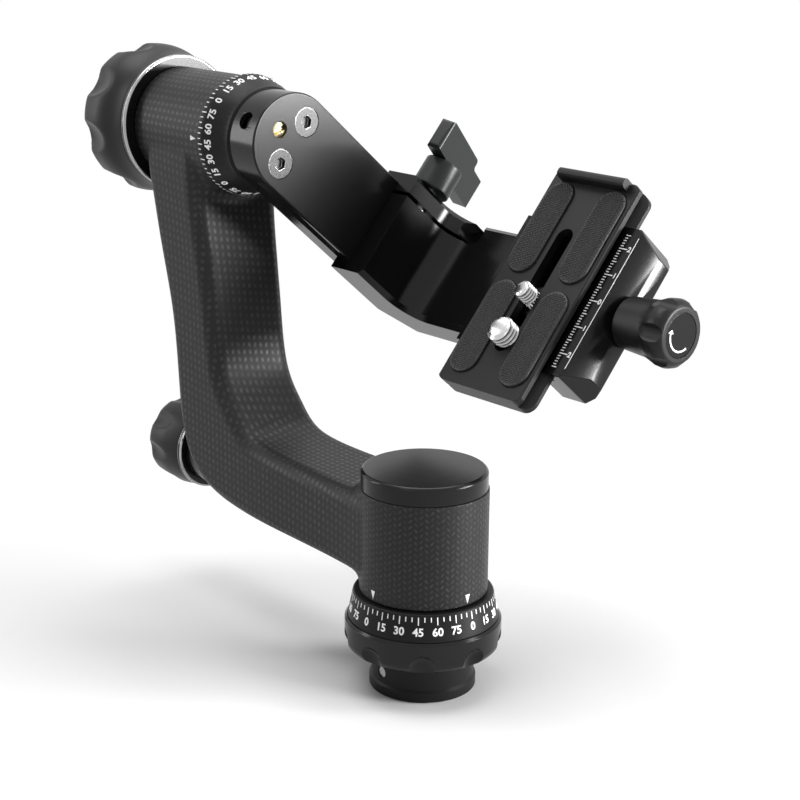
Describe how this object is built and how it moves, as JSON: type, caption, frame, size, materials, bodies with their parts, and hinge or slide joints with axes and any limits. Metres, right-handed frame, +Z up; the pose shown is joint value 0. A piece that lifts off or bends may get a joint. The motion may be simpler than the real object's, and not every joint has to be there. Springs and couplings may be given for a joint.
{
  "type": "gimbal tripod head",
  "caption": "Gimbal head for long lenses: one-piece carbon J-arm on a panning base, tilting swing arm with sliding L-bracket, quick-release clamp and camera plate.",
  "frame": {"origin": "centre of the tripod socket in the base's underside, on the pan axis", "axes": "+Z up along the pan axis; tilt axis along X, swing arm on the +X side of the upright; lens axis in the YZ plane"},
  "size_m": [0.2079, 0.1122, 0.1952],
  "materials": {
    "carbon": "carbon twill under satin lacquer",
    "black_alloy": "black anodised, gloss",
    "plate_alloy": "dark anodised, satin",
    "soft_grip": "soft satin",
    "ring_alloy": "polished",
    "lever_alloy": "satin anodised",
    "neck_alloy": "satin anodised",
    "steel": "turned",
    "brass": "turned",
    "disc_plastic": "matt",
    "pad_rubber": "knurled"
  },
  "bodies": {
    "base": {"base_neck": "neck_alloy", "thread_bush": "steel", "base_set_screw": "steel", "grip_ring": "black_alloy", "pan_scale_ring": "black_alloy", "pan_spindle": "steel"},
    "arm": {"carbon_arm": "carbon", "pan_bearing_lower": "steel", "pan_bearing_upper": "steel", "pan_cap": "black_alloy", "tilt_bearing_outer": "steel", "tilt_bearing_inner": "steel", "pan_lock_collar": "black_alloy"},
    "tilt_lock": {"tilt_knob_ring": "ring_alloy", "tilt_knob": "soft_grip"},
    "pan_lock": {"pan_knob_ring": "ring_alloy", "pan_knob": "soft_grip", "pan_lock_rod": "steel"},
    "swing": {"tilt_scale_ring": "black_alloy", "tilt_shaft": "steel", "swing_arm": "black_alloy", "hub_set_screw": "steel", "arm_screw_low": "steel", "arm_screw_high": "steel", "arm_pin": "brass"},
    "slide_bracket": {"bracket": "black_alloy", "clamp_stud": "steel", "clamp_base": "black_alloy", "guide_pin_low": "steel", "guide_pin_high": "steel"},
    "lever": {"bracket_lever": "lever_alloy"},
    "jaw": {"clamp_jaw": "black_alloy"},
    "jaw_knob": {"clamp_knob": "soft_grip", "clamp_knob_disc": "disc_plastic", "clamp_screw": "steel"},
    "plate": {"camera_plate": "plate_alloy", "pad_a": "pad_rubber", "pad_b": "pad_rubber", "pad_c": "pad_rubber", "pad_d": "pad_rubber"},
    "screw_small": {"screw_quarter": "steel"},
    "screw_large": {"screw_three_eighth": "steel"}
  },
  "joints": [
    {"name": "pan", "type": "hinge", "parent": "base", "child": "arm", "pos_m": [0, 0, 0.05], "axis": [0, 0, 1], "continuous": true},
    {"name": "tilt", "type": "hinge", "parent": "arm", "child": "swing", "pos_m": [-0.08, 0, 0.16865], "axis": [1, 0, 0], "continuous": true},
    {"name": "tilt_lock_turn", "type": "hinge", "parent": "arm", "child": "tilt_lock", "pos_m": [-0.145, 0, 0.16865], "axis": [-1, 0, 0], "range_deg": [0, 180]},
    {"name": "pan_lock_turn", "type": "hinge", "parent": "arm", "child": "pan_lock", "pos_m": [-0.125, 0, 0.051], "axis": [-1, 0, 0], "range_deg": [0, 180]},
    {"name": "bracket_height", "type": "slide", "parent": "swing", "child": "slide_bracket", "axis": [0, -0.7565, 0.6539], "range_m": [-0.003, 0.012]},
    {"name": "lever_turn", "type": "hinge", "parent": "slide_bracket", "child": "lever", "pos_m": [-0.0618, 0.06259, 0.1542], "axis": [0, 0.6539, 0.7565], "range_deg": [-60, 120]},
    {"name": "jaw_slide", "type": "slide", "parent": "slide_bracket", "child": "jaw", "axis": [1, 0, 0], "range_m": [0, 0.003]},
    {"name": "jaw_knob_turn", "type": "hinge", "parent": "jaw", "child": "jaw_knob", "pos_m": [0.04, 0.05946, 0.11725], "axis": [1, 0, 0], "range_deg": [0, 864]},
    {"name": "plate_slide", "type": "slide", "parent": "slide_bracket", "child": "plate", "axis": [0, 0.6539, 0.7565], "range_m": [-0.02, 0.02]},
    {"name": "small_screw_slide", "type": "slide", "parent": "plate", "child": "screw_small", "axis": [0, 0.6539, 0.7565], "range_m": [-0.0015, 0.0105]},
    {"name": "large_screw_slide", "type": "slide", "parent": "plate", "child": "screw_large", "axis": [0, 0.6539, 0.7565], "range_m": [-0.0025, 0.0015]}
  ],
  "couplings": [
    {"joint": "jaw_knob_turn", "follows": "jaw_slide", "rad_per_m": 5026.6}
  ]
}
